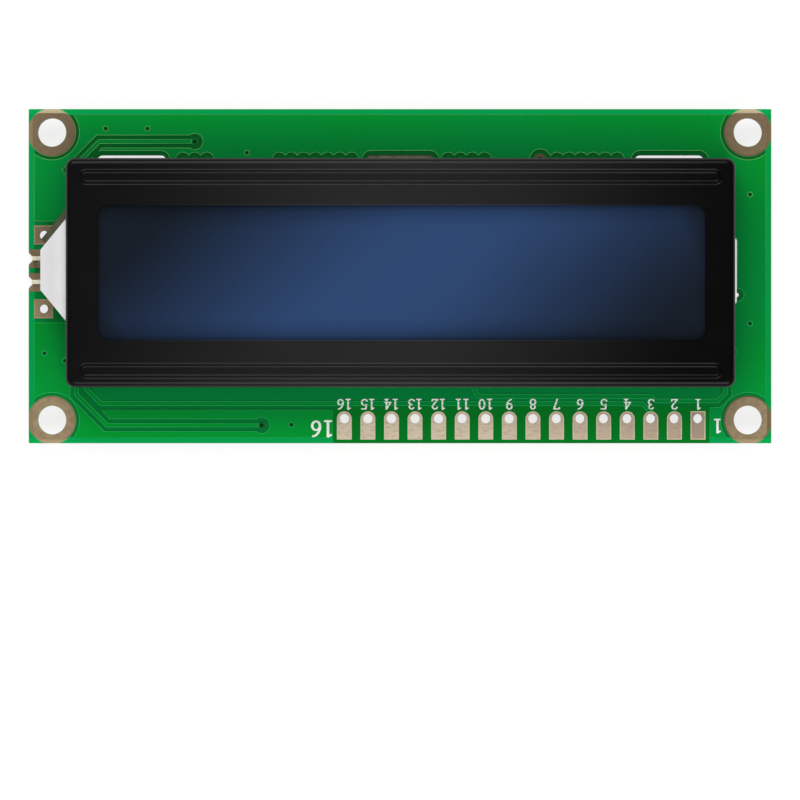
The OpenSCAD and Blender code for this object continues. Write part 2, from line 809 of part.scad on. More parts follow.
module front_glass() {
    color("lightcyan") cell_plate(front_glass_z, glass_thickness, glass_width);
}

module cell_seal() {
    color("gainsboro") difference() {
        cell_plate(front_glass_z - cell_gap, cell_gap, rear_glass_width);
        cell_plate(front_glass_z - 2 * cell_gap, 3 * cell_gap, rear_glass_width, seal_width);
    }
}

module rear_glass() {
    color("lightcyan") cell_plate(rear_glass_z, glass_thickness, rear_glass_width);
}

module rear_polarizer() {
    color("darkslateblue") cell_plate(rear_polarizer_z, polarizer, rear_glass_width,
        polarizer_inset);
}

module connector_strip(side) {
    slab(deck_z, front_glass_z - deck_z) at_bezel() translate([0, side * strip_y])
        square([strip_length, strip_width], center = true);
}

module upper_connector_strip() {
    color("dimgray") connector_strip(1);
}

module lower_connector_strip() {
    color("dimgray") connector_strip(-1);
}

// ---- backlight ----------------------------------------------------------------------------

// Light guide from above: a plate whose left end narrows to the wing
module guide_outline() {
    intersection() {
        translate([wing_x, bezel_shift_y - rear_glass_width / 2])
            square([guide_end_x - wing_x, rear_glass_width]);
        polygon([
            [wing_x, wing_y - wing_half(wing_x)], [guide_end_x, wing_y - wing_half(guide_end_x)],
            [guide_end_x, wing_y + wing_half(guide_end_x)], [wing_x, wing_y + wing_half(wing_x)]
        ]);
    }
}

module lamp_body(grow) {
    r = lamp_d / 2 + grow;
    translate([wing_x + lamp_clearance, wing_y, lamp_z]) {
        translate([-grow, -lamp_flange_width / 2 - grow, -r])
            cube([lamp_flange + 2 * grow, lamp_flange_width + 2 * grow, 2 * r]);
        rotate([0, 90, 0]) rotate_extrude() {
            square([r, lamp_flange + lamp_length]);
            translate([0, lamp_flange + lamp_length]) intersection() {
                circle(r = r);
                square(r);
            }
        }
    }
}

module light_guide() {
    color("whitesmoke") difference() {
        slab(guide_z, guide_height) guide_outline();
        lamp_body(lamp_clearance);
    }
}

module diffuser() {
    color("white") slab(diffuser_z, diffuser_thickness) at_bezel()
        square([glass_length - 2 * polarizer_inset, rear_glass_width], center = true);
}

module reflector() {
    color("white") slab(reflector_z, reflector_thickness) guide_outline();
}

// Tape under the whole backlight. It shows along the wing's slanted upper side, where it is
// squared off short of the narrow end
module backlight_tape() {
    rise = bezel_shift_y + rear_glass_width / 2 - wing_y - wing_end_width / 2;
    shoulder = rise / sin(wing_slant);
    square_end = 0.9;
    inner_end = 1;
    color([0.33, 0.31, 0.17]) slab(tape_z, tape) {
        guide_outline();
        translate([wing_x, wing_y + wing_end_width / 2]) rotate(wing_slant)
            translate([square_end, -tape_overhang])
                square([shoulder - square_end - inner_end, 2 * tape_overhang]);
    }
}

module backlight_lamp() {
    color("lightyellow") lamp_body(0);
}

module lamp_leads() {
    top = lamp_z + lead_width / 2;
    color("silver") for (y = LEADS) translate([lead_x, y - lead_width / 2, 0]) {
        translate([0, 0, top - lead_width])
            cube([wing_x + lamp_clearance - lead_x, lead_width, lead_width]);
        translate([0, 0, lead_bottom_z]) cube([lead_width, lead_width, top - lead_bottom_z]);
    }
}

module lead_solder() {
    foot_r = 0.75;
    tip_r = 0.3;
    tip_z = lead_bottom_z + 0.1;
    color("silver") intersection() {
        difference() {
            for (y = LEADS) translate([lead_x + lead_width / 2, y, tip_z])
                cylinder(r1 = tip_r, r2 = foot_r, h = rear_z - land_height - tip_z);
            through() for (y = LEADS) translate([lead_x, y - lead_width / 2]) square(lead_width);
        }
        through() translate([notch_taper - half_length, -half_width])
            square([half_length, board_width]);
    }
}

// ---- rear parts ---------------------------------------------------------------------------

// Cured epoxy: a flat middle that falls away to a steep rim
module driver_domes() {
    steps = 8;
    rim = 75;
    flat_r = dome_flat_d / 2;
    fall = dome_d / 2 - flat_r;
    profile = [for (i = [0:steps]) let (a = rim * i / steps)
        [flat_r + fall * sin(a) / sin(rim), dome_height * (1 - cos(a)) / (1 - cos(rim))]];
    color([0.05, 0.05, 0.05]) for (p = DOMES) translate(p)
        rotate_extrude() polygon(concat([[0, 0]], profile, [[0, dome_height]]));
}

module chip_bodies(places) {
    for (p = places) translate([p[0], p[1], rear_z - land_height - chip_height / 2])
        cube([chip_width, chip_length - 2 * chip_cap, chip_height], center = true);
}

module chip_resistors() {
    color("black") chip_bodies(CHIPS);
}

module chip_capacitors() {
    color("tan") chip_bodies(CAPACITORS);
}

module chip_end_caps() {
    color("silver") for (p = concat(CHIPS, CAPACITORS), side = [-1, 1])
        translate([p[0], p[1] + side * (chip_length - chip_cap) / 2,
            rear_z - land_height - chip_height / 2])
            cube([chip_width, chip_cap, chip_height], center = true);
}

module chip_pads() {
    color("silver") slab(rear_z - land_height, land_height)
        for (p = concat(CHIPS, CAPACITORS, JUMPERS)) translate(p) chip_pad_pair(chip_length);
}

// ---- what is drawn ------------------------------------------------------------------------

circuit_board();
front_copper();
rear_copper();
mounting_lands();
connection_pads();
backlight_pads();
lead_pads();
vias();
upper_contact_fingers();
lower_contact_fingers();
bezel();
earth_solder();
front_polarizer();
front_glass();
cell_seal();
rear_glass();
rear_polarizer();
upper_connector_strip();
lower_connector_strip();
diffuser();
light_guide();
reflector();
backlight_tape();
backlight_lamp();
lamp_leads();
lead_solder();
driver_domes();
chip_resistors();
chip_capacitors();
chip_end_caps();
chip_pads();
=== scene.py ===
"""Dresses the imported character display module: its finishes, printing, edge lines and stage."""

import json
import math

import bmesh
import bpy
from mathutils import Matrix, Vector


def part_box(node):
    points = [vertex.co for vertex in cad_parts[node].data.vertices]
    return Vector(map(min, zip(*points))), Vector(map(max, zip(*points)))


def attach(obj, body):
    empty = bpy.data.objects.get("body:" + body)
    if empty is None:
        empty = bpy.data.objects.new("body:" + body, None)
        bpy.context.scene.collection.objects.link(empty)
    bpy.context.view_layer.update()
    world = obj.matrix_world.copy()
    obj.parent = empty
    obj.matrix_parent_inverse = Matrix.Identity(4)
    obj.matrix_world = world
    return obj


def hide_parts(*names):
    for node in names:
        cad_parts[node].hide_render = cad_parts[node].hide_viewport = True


bl_info = {
    "name": "Display module dressing",
    "version": (1, 0, 0),
    "blender": (4, 5, 0),
    "location": "View3D > Sidebar > Display module",
    "description": "Finishes, printing and stage for a character display module",
    "category": "Object",
}

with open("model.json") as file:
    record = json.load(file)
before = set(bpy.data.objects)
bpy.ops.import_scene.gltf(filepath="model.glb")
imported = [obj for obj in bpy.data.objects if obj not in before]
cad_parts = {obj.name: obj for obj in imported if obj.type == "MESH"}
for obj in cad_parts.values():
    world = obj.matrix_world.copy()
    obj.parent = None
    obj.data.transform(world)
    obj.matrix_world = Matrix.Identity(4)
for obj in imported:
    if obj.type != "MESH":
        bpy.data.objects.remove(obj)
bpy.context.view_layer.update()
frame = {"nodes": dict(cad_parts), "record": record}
NODES = frame["nodes"]
MOUNTS = {mount["name"]: mount for mount in frame["record"]["mounts"]}
MM = 0.001

# Where things are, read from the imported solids, in metres
BOARD_LOW, BOARD_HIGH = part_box("circuit_board")
PADS_LOW, PADS_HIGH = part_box("connection_pads")
BEZEL_LOW, BEZEL_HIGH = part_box("bezel")
BOARD_TOP = BOARD_HIGH.z
COPPER_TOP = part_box("front_copper")[1].z
PIN_COUNT = MOUNTS["connection_row"]["dims"]["count"]
PIN_PITCH = MOUNTS["connection_row"]["dims"]["spacing_x_mm"] * MM
PIN_Y = MOUNTS["connection_row"]["pos_m"][1]
PAD_WIDTH = PADS_HIGH.x - PADS_LOW.x - (PIN_COUNT - 1) * PIN_PITCH
FIRST_PIN_X = PADS_HIGH.x - PAD_WIDTH / 2
LIGHT_PAD_Y = MOUNTS["backlight_holes"]["pos_m"][1]
LIGHT_PAD_PITCH = MOUNTS["backlight_holes"]["dims"]["spacing_y_mm"] * MM

# Zones of the board's finish, in millimetres
HALF_X, HALF_Y = BOARD_HIGH.x / MM, BOARD_HIGH.y / MM
HOLE_X = MOUNTS["mounting_holes"]["dims"]["spacing_x_mm"] / 2
HOLE_Y = MOUNTS["mounting_holes"]["dims"]["spacing_y_mm"] / 2
SHARP = 0.05  # over which one green gives way to the next
ROW_MARGIN, ROW_TOP_MARGIN = 0.45, 0.5  # pad field beyond the end pads and above them
# The strip below the bezel is lifted with painted light against the bezel's shadow.
STRIP_LOW, STRIP_HIGH = -13.55, -8.5  # strip beside the bezel, faded out under it
STRIP_MIDDLE, STRIP_REACH, STRIP_FADE = 0.7, 33.6, 0.4
LEAD_BAY_X = (-38.6, -37.6)  # where the green round the lamp leads ends
LEAD_BAY_Y = (6.5, 7.5)
RIM_WIDTH, RIM_FADE = 0.62, 0.06  # brighter mask along the cut edge
LAND_RADIUS, LAND_FADE = 2.58, 0.04  # bare laminate round the mounting holes
LARGE_VIA_X, LARGE_VIA_REACH = 15.1, 0.8
MASK_GLOSS = 0.05


def shown(red, green, blue):
    """A colour as a paint chart gives it, 0 to 255, in the linear values that shaders use."""
    return tuple(
        c / 12.92 if c <= 0.04045 else ((c + 0.055) / 1.055) ** 2.4
        for c in (red / 255, green / 255, blue / 255)
    )


# ---- settings a user would change ---------------------------------------------------------


def colour(name, description, default):
    return bpy.props.FloatVectorProperty(
        name=name, description=description, default=default, subtype="COLOR", min=0, max=1
    )


def length(name, description, default):
    return bpy.props.FloatProperty(
        name=name, description=description, default=default, unit="LENGTH", precision=5
    )


class BoardSettings(bpy.types.PropertyGroup):
    mask_over_copper: colour("Mask over copper", "Green of the mask on copper", shown(0, 148, 42))
    # Painted shade: the darker green of the mask beside the bezel.
    mask_deep: colour(
        "Mask beside the bezel", "Green of the mask far from the edge", shown(0, 139, 50)
    )
    mask_over_laminate: colour(
        "Mask over laminate", "Green of the mask on bare board", shown(2, 100, 38)
    )
    mask_lower: colour(
        "Mask on laminate, low", "The same near the connection row", shown(0, 125, 54)
    )
    mask_header: colour(
        "Mask between pads", "Green of the mask in the pad field", shown(0, 123, 36)
    )
    # Painted light: a brighter green for the strip below the bezel, against its shadow.
    mask_shade: colour(
        "Mask by the bezel", "Green of the bare strip below the bezel", shown(0, 137, 62)
    )
    mask_rim: colour("Mask at the edge", "Green of the mask along the cut edge", shown(0, 150, 72))
    laminate: colour("Laminate", "Bare glass and resin", shown(190, 178, 142))
    # Painted highlight: the light line along the copper's edges.
    edge_line: colour("Edge line", "Thin mask over the copper's edges", shown(40, 196, 98))
    edge_line_width: length("Edge line width", "Width of the line along copper edges", 0.07 * MM)
    # Painted shade: the dark green of the mask down in each via's hole.
    via_plug: colour("Via plug", "Mask sunk into a via's hole", shown(4, 52, 24))
    pad_edge: length("Pad edge", "Width of the bright line along each pad's edge", 0.1 * MM)


class PrintSettings(bpy.types.PropertyGroup):
    ink: colour("Ink", "White printing ink", shown(248, 254, 248))
    number_height: length("Number height", "Height of the pad numbers", 1.08 * MM)
    row_height: length("End number height", "Height of the two end numbers", 1.7 * MM)


class BezelSettings(bpy.types.PropertyGroup):
    paint: colour("Paint", "Black paint of the bezel", (0.0008, 0.0008, 0.0009))
    # Painted reflection: the sheen along the middle of the face.
    sheen: colour("Sheen", "Rubbed paint along the middle", (0.0165, 0.0165, 0.017))
    # Bare steel at the window's sheared edge, brightened as a painted highlight where the painted
    # sheen falls.
    worn_edge: colour("Worn edge", "Sheared edge round the window", shown(88, 86, 84))
    window_length: length("Window length", "Length of the window", 64.8 * MM)
    window_width: length("Window width", "Width of the window", 14.4 * MM)
    window_shift: length("Window shift", "Window's middle right of the bezel's", 0.13 * MM)


class CellSettings(bpy.types.PropertyGroup):
    # Painted reflection: the film's blue sheen is painted into its colour; the peak colour, reach
    # and lean set it.
    film_middle: colour("Film, middle", "Blue of the film's broad sheen", shown(43, 68, 108))
    film_end: colour("Film, ends", "Dark slate of the film's ends", shown(20, 27, 37))
    sheen_reach: length("Sheen reach", "Half length of the blue sheen", 32 * MM)
    sheen_lean: bpy.props.FloatProperty(
        name="Sheen lean", description="Sideways run of the sheen for each step up", default=1.02
    )


class StageSettings(bpy.types.PropertyGroup):
    camera_height: length("Camera height", "Camera above the board", 700 * MM)
    camera_drop: length("Camera drop", "From the board's middle to the view's", 13.34 * MM)
    lens: bpy.props.FloatProperty(name="Lens", description="Focal length in mm", default=292.4)
    lamp_power: bpy.props.FloatProperty(
        name="Lamp power", description="Power of each soft lamp in watts", default=2.3
    )
    sky: bpy.props.FloatProperty(name="Sky", description="Strength of the even light", default=0.6)
    mirrored_sky: bpy.props.FloatProperty(
        name="Mirrored sky", description="How bright the sky looks in glossy surfaces", default=0.2
    )
    floor_glow: bpy.props.FloatProperty(
        name="Floor glow", description="Strength of the white that the camera sees", default=0.78
    )


# ---- shader helpers -----------------------------------------------------------------------


class Value:
    """A number or colour inside a finish. Arithmetic on it adds Math nodes."""

    def __init__(self, finish, socket):
        self.finish = finish
        self.socket = socket

    def math(self, operation, *others):
        return self.finish.node(
            "ShaderNodeMath", dict(enumerate((self, *others))), operation=operation
        )

    def __add__(self, other):
        return self.math("ADD", other)

    def __sub__(self, other):
        return self.math("SUBTRACT", other)

    def __mul__(self, other):
        return self.math("MULTIPLY", other)

    def __truediv__(self, other):
        return self.math("DIVIDE", other)

    def __rsub__(self, other):
        return (self * -1) + other

    def __abs__(self):
        return self.math("ABSOLUTE")

    def least(self, other):
        return self.math("MINIMUM", other)

    def most(self, other):
        return self.math("MAXIMUM", other)

    def step(self, low, high):
        """0 below low, 1 above high and smooth between them."""
        return self.finish.node(
            "ShaderNodeMapRange",
            {"Value": self, "From Min": low, "From Max": high},
            interpolation_type="SMOOTHSTEP",
        )


class Finish:
    """A material, its shader and the helpers that add nodes to it."""

    def __init__(self, name, **constants):
        self.material = bpy.data.materials.new(name)
        self.material.use_nodes = True
        self.tree = self.material.node_tree
        self.tree.nodes.clear()
        self.shader = self.tree.nodes.new("ShaderNodeBsdfPrincipled")
        output = self.tree.nodes.new("ShaderNodeOutputMaterial")
        self.tree.links.new(self.shader.outputs["BSDF"], output.inputs["Surface"])
        for socket, value in constants.items():
            self.set(socket.replace("_", " "), value)
        here = self.node("ShaderNodeTexCoord", output="Object")
        self.place = self.node(
            "ShaderNodeVectorMath", {0: here, "Scale": 1 / MM}, operation="SCALE"
        )
        self.x, self.y, self.z = (
            self.node("ShaderNodeSeparateXYZ", {0: self.place}, output=axis) for axis in "XYZ"
        )

    def node(self, kind, sockets=None, output=0, stops=None, **settings):
        """Adds a node with its settings, feeds its sockets and returns one output."""
        made = self.tree.nodes.new(kind)
        for setting, value in settings.items():
            setattr(made, setting, value)
        if stops:
            ramp = made.color_ramp
            while len(ramp.elements) < len(stops):
                ramp.elements.new(1)
            for element, (position, tint) in zip(ramp.elements, stops):
                element.position = position
                element.color = (*tint, 1)
        for socket, value in (sockets or {}).items():
            self.feed(made.inputs[socket], value)
        return Value(self, made.outputs[output])

    def feed(self, socket, value):
        if isinstance(value, Value):
            self.tree.links.new(value.socket, socket)
        elif isinstance(value, (tuple, list)) and len(value) == 3 and socket.type == "RGBA":
            socket.default_value = (*value, 1)
        else:
            socket.default_value = value

    def set(self, socket, value):
        found = next(s for s in self.shader.inputs if s.name.lower() == socket.lower())
        self.feed(found, value)

    def mix(self, factor, first, second):
        """first where factor is 0, second where it is 1."""
        first, second = (t if isinstance(t, Value) else tuple(t) for t in (first, second))
        sockets = {0: factor, 6: first, 7: second}
        return self.node("ShaderNodeMix", sockets, output=2, data_type="RGBA")

    def times(self, tint, factor):
        """A colour made lighter or darker by a factor."""
        shade = self.node("ShaderNodeCombineXYZ", {axis: factor for axis in range(3)})
        return self.node("ShaderNodeVectorMath", {0: tint, 1: shade}, operation="MULTIPLY")

    def noise(self, scale, detail=2.0, stretch=None):
        """Cloudy noise from 0 to 1; scale is in features per millimetre."""
        place = self.place
        if stretch:
            place = self.node("ShaderNodeVectorMath", {0: place, 1: stretch}, operation="MULTIPLY")
        return self.node("ShaderNodeTexNoise", {"Vector": place, "Scale": scale, "Detail": detail})

    def relief(self, height, depth):
        """Bump of the given depth in metres."""
        bump = self.node("ShaderNodeBump", {"Height": height, "Strength": 1.0, "Distance": depth})
        self.set("Normal", bump)


def soft_finish(
    name, tint, roughness, metallic=0.0, mottle=0.12, grain=0.002, scale=0.8, **constants
):
    """A plain finish with the small unevenness in colour, gloss and surface of a real one."""
    finish = Finish(name, Metallic=metallic, **constants)
    cloud = finish.noise(scale, 4.0)
    darker = tuple(c * (1 - mottle) for c in tint)
    lighter = tuple(min(1, c * (1 + mottle)) for c in tint)
    finish.set("Base Color", finish.mix(cloud.step(0.3, 0.7), darker, lighter))
    finish.set("Roughness", (cloud - 0.5) * 0.12 + roughness)
    finish.relief(finish.noise(9 * scale, 3.0), grain * MM)
    return finish


def dress(node, finish):
    """Gives a CAD node its finish."""
    slots = NODES[node].data.materials
    slots.clear()
    slots.append(finish.material)


# ---- mesh helpers -------------------------------------------------------------------------


def add_piece(name, mesh, finish=None):
    piece = bpy.data.objects.new(name, mesh)
    bpy.context.scene.collection.objects.link(piece)
    if finish:
        mesh.materials.clear()
        mesh.materials.append(finish.material)
    return piece


def mesh_from(bm, name):
    mesh = bpy.data.meshes.new(name)
    bm.to_mesh(mesh)
    bm.free()
    return mesh


def welded_copy(node):
    """A copy of a CAD node's mesh with its loose triangles joined up."""
    bm = bmesh.new()
    bm.from_mesh(NODES[node].data)
    bmesh.ops.remove_doubles(bm, verts=bm.verts, dist=1e-7)
    return bm


def make_real(piece):
    """Replaces a piece's live modifiers by the plain mesh that they make."""
    graph = bpy.context.evaluated_depsgraph_get()
    mesh = bpy.data.meshes.new_from_object(piece.evaluated_get(graph))
    piece.modifiers.clear()
    piece.data = mesh
    return piece


def grow(piece, tree, **inputs):
    """Runs a geometry tree on a piece with the named inputs, and keeps the plain mesh."""
    modifier = piece.modifiers.new(tree.name, "NODES")
    modifier.node_group = tree
    names = {item.name: item for item in tree.interface.items_tree if item.in_out == "INPUT"}
    for name, value in inputs.items():
        modifier[names[name.replace("_", " ")].identifier] = value
    return make_real(piece)


class Tree:
    """A geometry node tree under construction."""

    def __init__(self, name, **inputs):
        self.tree = bpy.data.node_groups.new(name, "GeometryNodeTree")
        sockets = [("Geometry", "INPUT", "Geometry"), ("Geometry", "OUTPUT", "Geometry")]
        sockets += [(label.replace("_", " "), "INPUT", kind) for label, kind in inputs.items()]
        for label, way, kind in sockets:
            self.tree.interface.new_socket(label, in_out=way, socket_type="NodeSocket" + kind)
        self.given = self.tree.nodes.new("NodeGroupInput").outputs
        self.result = self.tree.nodes.new("NodeGroupOutput").inputs["Geometry"]

    def node(self, kind, sockets=None, output=0, **settings):
        made = self.tree.nodes.new(kind)
        for setting, value in settings.items():
            setattr(made, setting, value)
        for socket, value in (sockets or {}).items():
            if isinstance(value, bpy.types.NodeSocket):
                self.tree.links.new(value, made.inputs[socket])
            else:
                made.inputs[socket].default_value = value
        return made.outputs[output]

    def finish(self, geometry):
        """Ends the tree in plain geometry with its finish."""
        real = self.node("GeometryNodeRealizeInstances", {"Geometry": geometry})
        coated = self.node(
            "GeometryNodeSetMaterial", {"Geometry": real, "Material": self.given["Finish"]}
        )
        self.tree.links.new(coated, self.result)
        return self.tree


# ---- operators ----------------------------------------------------------------------------


def laminate_finish(tints):
    """Green mask by zone over the laminate, with painted light lifting the strip below the bezel,
    bare corners and layered cut edges.
    """
    board = Finish("board_mask", Specular_IOR_Level=MASK_GLOSS)
    low = 1 - board.y.step(-15.5, 6.0)
    cloud = board.noise(0.16, 3.0).step(0.3, 0.7)
    bare = board.mix(low, tints.mask_over_laminate, tints.mask_lower)
    tint = board.mix(cloud * 0.12, bare, shown(0, 88, 40))

    left, right = PADS_LOW.x / MM - ROW_MARGIN, PADS_HIGH.x / MM + ROW_MARGIN
    row_top = PADS_HIGH.y / MM + ROW_TOP_MARGIN
    in_row = board.x.step(left, left + SHARP) * (1 - board.x.step(right - SHARP, right))
    in_row = in_row * (1 - board.y.step(row_top, row_top + 2 * SHARP))
    tint = board.mix(in_row, tint, tints.mask_header)

    # Painted light: the strip below the bezel gets a brighter green against the bezel's shadow,
    # faded out under the bezel and past the strip's ends.
    under_bezel = board.y.step(BEZEL_LOW.y / MM, STRIP_HIGH)
    painted_light_strip = board.y.step(STRIP_LOW, STRIP_LOW + SHARP) * (1 - under_bezel)
    past_strip = abs(board.x - STRIP_MIDDLE).step(STRIP_REACH, STRIP_REACH + STRIP_FADE)
    tint = board.mix(painted_light_strip * (1 - past_strip), tint, tints.mask_shade)

    lead_bay = (1 - board.x.step(*LEAD_BAY_X)) * (1 - abs(board.y).step(*LEAD_BAY_Y))
    tint = board.mix(lead_bay * 0.8, tint, shown(0, 122, 54))

    inward = (HALF_X - abs(board.x)).least(HALF_Y - abs(board.y))
    long_edge = abs(board.y).step(HALF_Y - 0.7, HALF_Y - 0.5) * 0.3
    rim = board.mix(long_edge, tints.mask_rim, shown(0, 190, 100))
    in_rim = (1 - inward.step(RIM_WIDTH, RIM_WIDTH + RIM_FADE)) * (1 - in_row)
    tint = board.mix(in_rim, tint, rim)

    corner_x, corner_y = abs(board.x) - HOLE_X, abs(board.y) - HOLE_Y
    radius = (corner_x * corner_x + corner_y * corner_y).math("SQRT")
    beside = abs(board.y).step(HALF_Y - 0.62, HALF_Y - 0.45)
    stained = board.mix(board.x.step(-10.0, 10.0), shown(138, 122, 90), shown(118, 100, 74))
    clean = board.mix(low, tints.laminate, shown(168, 150, 116))
    corner = board.mix(beside, stained, clean)
    tint = board.mix(1 - radius.step(LAND_RADIUS, LAND_RADIUS + LAND_FADE), tint, corner)

    normal = board.node("ShaderNodeNewGeometry", output="Normal")
    facing = abs(board.node("ShaderNodeSeparateXYZ", {0: normal}, output="Z")).step(0.45, 0.55)
    layers = (board.z * 22).math("SINE") * 0.5 + 0.5
    cut = board.mix(layers, shown(150, 152, 92), shown(184, 178, 126))
    board.set("Base Color", board.mix(facing, cut, tint))
    board.set("Roughness", 0.62 - facing * 0.32)
    weave = (board.x * 9).math("SINE") * (board.y * 9).math("SINE")
    board.relief(weave, 0.0015 * MM)
    return board


def copper_finish(tints):
    """Green mask on copper: bright at the board's edge, darker towards the bezel as painted shade,
    with painted light and shade by height on the board.
    """
    copper = Finish("masked_copper", Specular_IOR_Level=MASK_GLOSS)
    # Painted shade: the green darkens from the board's edge in towards the bezel.
    inward = (HALF_X - abs(copper.x)).least(HALF_Y - abs(copper.y)).step(-1.0, 5.4)
    warm = copper.mix(inward, tints.mask_over_copper, tints.mask_deep)
    cool = copper.mix(inward, shown(0, 147, 62), shown(0, 139, 66))
    drift = copper.noise(0.045, 2.0, (1.0, 1.4, 1.0)).step(0.3, 0.7)
    away = abs(copper.y)
    # Painted light and shade: the mask is lighter towards the long edges and darker towards the
    # top.
    light = away.step(6.0, 13.5) * 0.12 + away.step(13.2, 15.6) * 0.1
    light = light + 0.9 - copper.y.step(-16.0, 4.0) * 0.1
    copper.set("Base Color", copper.times(copper.mix(drift * 0.7, warm, cool), light))
    copper.set("Roughness", (copper.noise(0.4) - 0.5) * 0.1 + 0.3)
    copper.relief(copper.noise(2.5, 3.0), 0.002 * MM)
    return copper


class MODULE_OT_board(bpy.types.Operator):
    """Coat the board: green mask with painted light and shade by the bezel, bare laminate at the
    corner lands and cut edges
    """

    bl_idname = "module.board"
    bl_label = "Circuit board"

    def execute(self, context):
        tints = context.scene.board_settings
        dress("circuit_board", laminate_finish(tints))
        copper = copper_finish(tints)
        dress("front_copper", copper)
        dress("rear_copper", copper)
        return {"FINISHED"}


class MODULE_OT_copper_edges(bpy.types.Operator):
    """Draw a painted highlight: the thin light line where the mask runs over each edge of the front
    copper
    """

    bl_idname = "module.copper_edges"
    bl_label = "Copper edge lines"

    def execute(self, context):
        tints = context.scene.board_settings
        outline = welded_copy("front_copper")
        inner = [
            edge
            for edge in outline.edges
            if min(vert.co.z for vert in edge.verts) < COPPER_TOP - 1e-6
            or all(abs(face.normal.z) > 0.9 for face in edge.link_faces)
        ]
        bmesh.ops.delete(outline, geom=inner, context="EDGES")
        bmesh.ops.delete(outline, geom=list(outline.faces), context="FACES_KEEP_BOUNDARY")
        tree = Tree("Edge lines", Width="Float", Finish="Material")
        line = tree.node("GeometryNodeMeshToCurve", {"Mesh": tree.given["Geometry"]})
        radius = tree.node("ShaderNodeMath", {0: tree.given["Width"], 1: 0.5}, operation="MULTIPLY")
        ring = tree.node("GeometryNodeCurvePrimitiveCircle", {"Resolution": 5, "Radius": radius})
        tube = tree.node("GeometryNodeCurveToMesh", {"Curve": line, "Profile Curve": ring})
        finish = soft_finish("edge_line", tints.edge_line, 0.4, scale=0.25, Specular_IOR_Level=0.1)
        # Painted highlight, paler and yellower towards the top of the board.
        painted_upper_highlight = finish.y.step(-4.0, 12.0) * 0.35
        finish.set("Base Color", finish.mix(painted_upper_highlight, tints.edge_line, shown(150, 190, 96)))
        mesh = mesh_from(outline, "copper_edge_lines")
        piece = add_piece("copper_edge_lines", mesh, finish)
        grow(piece, tree.finish(tube), Width=tints.edge_line_width, Finish=finish.material)
        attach(piece, "root")
        return {"FINISHED"}


def land_finish():
    """Dull brown lands, with a paler line along the square pads' edges."""
    land = Finish("bare_land", Metallic=0.2, Specular_IOR_Level=0.25)
    cloud = land.noise(1.6, 4.0).step(0.3, 0.7)
    brown = land.mix(land.y.step(-12.0, 8.0), shown(162, 142, 108), shown(128, 109, 82))
    low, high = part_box("backlight_pads")
    half = (high.x - low.x) / 2 / MM
    across = abs(land.x - (low.x + high.x) / 2 / MM)
    up = abs(abs(land.y - LIGHT_PAD_Y / MM) - LIGHT_PAD_PITCH / 2 / MM)
    in_pad = (1 - across.step(half + 0.01, half + 0.03)) * (1 - up.step(half + 0.01, half + 0.03))
    line = across.most(up).step(half - 0.16, half - 0.05) * in_pad
    brown = land.mix(line, brown, shown(176, 158, 126))
    land.set("Base Color", land.mix(cloud * 0.35, brown, shown(104, 84, 60)))
    land.set("Roughness", cloud * 0.1 + 0.45)
    land.relief(land.noise(12.0, 3.0), 0.003 * MM)
    return land


def pad_finish():
    """Worn cream solder on the connection pads, duller towards the first pin."""
    pad = Finish("tinned_pad", Metallic=0.15, Specular_IOR_Level=0.3)
    worn = pad.noise(1.6, 4.0, (1.0, 2.2, 1.0))
    cream = pad.mix(pad.x.step(4.0, 34.0), shown(226, 209, 183), shown(196, 174, 150))
    cream = pad.mix(pad.x.step(30.9, 31.1) * 0.5, cream, shown(162, 138, 122))
    pad.set("Base Color", pad.mix(worn.step(0.45, 0.75) * 0.5, cream, shown(168, 142, 122)))
    pad.set("Roughness", (worn - 0.5) * 0.2 + 0.42)
    pad.relief(worn, 0.004 * MM)
    return pad


def via_finish():
    """Mask over the vias, and bare plating on the large one."""
    via = Finish("via_plating", Roughness=0.4, Specular_IOR_Level=0.15)
    bare = 1 - abs(via.x - LARGE_VIA_X).step(LARGE_VIA_REACH, LARGE_VIA_REACH + 0.1)
    via.set("Base Color", via.mix(bare, shown(6, 108, 42), shown(96, 84, 60)))
    return via


class MODULE_OT_plating(bpy.types.Operator):
    """Finish the lands, pads, vias and contact fingers"""

    bl_idname = "module.plating"
    bl_label = "Plated pads and lands"

    def execute(self, context):
        gold = soft_finish("gold_finger", (0.85, 0.66, 0.3), 0.3, 0.9, mottle=0.06, scale=2.0)
        for finish, nodes in (
            (land_finish(), ("mounting_lands", "backlight_pads", "lead_pads")),
            (pad_finish(), ("connection_pads", "chip_pads")),
            (via_finish(), ("vias",)),
            (gold, ("upper_contact_fingers", "lower_contact_fingers")),
        ):
            for node in nodes:
                dress(node, finish)
        return {"FINISHED"}


class MODULE_OT_via_plugs(bpy.types.Operator):
    """Close the vias' holes with the mask that runs into them, in a dark green that is painted
    shade of the holes
    """

    bl_idname = "module.via_plugs"
    bl_label = "Mask in the vias"

    def execute(self, context):
        plugs = bmesh.new()
        walls = welded_copy("vias")
        left = set(walls.verts)
        while left:
            island, queue = set(), [left.pop()]
            while queue:
                vert = queue.pop()
                island.add(vert)
                near = {edge.other_vert(vert) for edge in vert.link_edges} & left
                left -= near
                queue.extend(near)
            middle = sum((vert.co.xy for vert in island), Vector((0, 0))) / len(island)
            radius = min((vert.co.xy - middle).length for vert in island)
            for z in (COPPER_TOP - 0.01 * MM, BOARD_LOW.z):
                bmesh.ops.create_circle(
                    plugs,
                    cap_ends=True,
                    segments=16,
                    radius=radius * 1.02,
                    matrix=Matrix.Translation((*middle, z)),
                )
        walls.free()
        tint = context.scene.board_settings.via_plug
        finish = soft_finish("via_plug", tint, 0.5, Specular_IOR_Level=0.02)
        piece = add_piece("via_plugs", mesh_from(plugs, "via_plugs"), finish)
        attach(piece, "root")
        return {"FINISHED"}


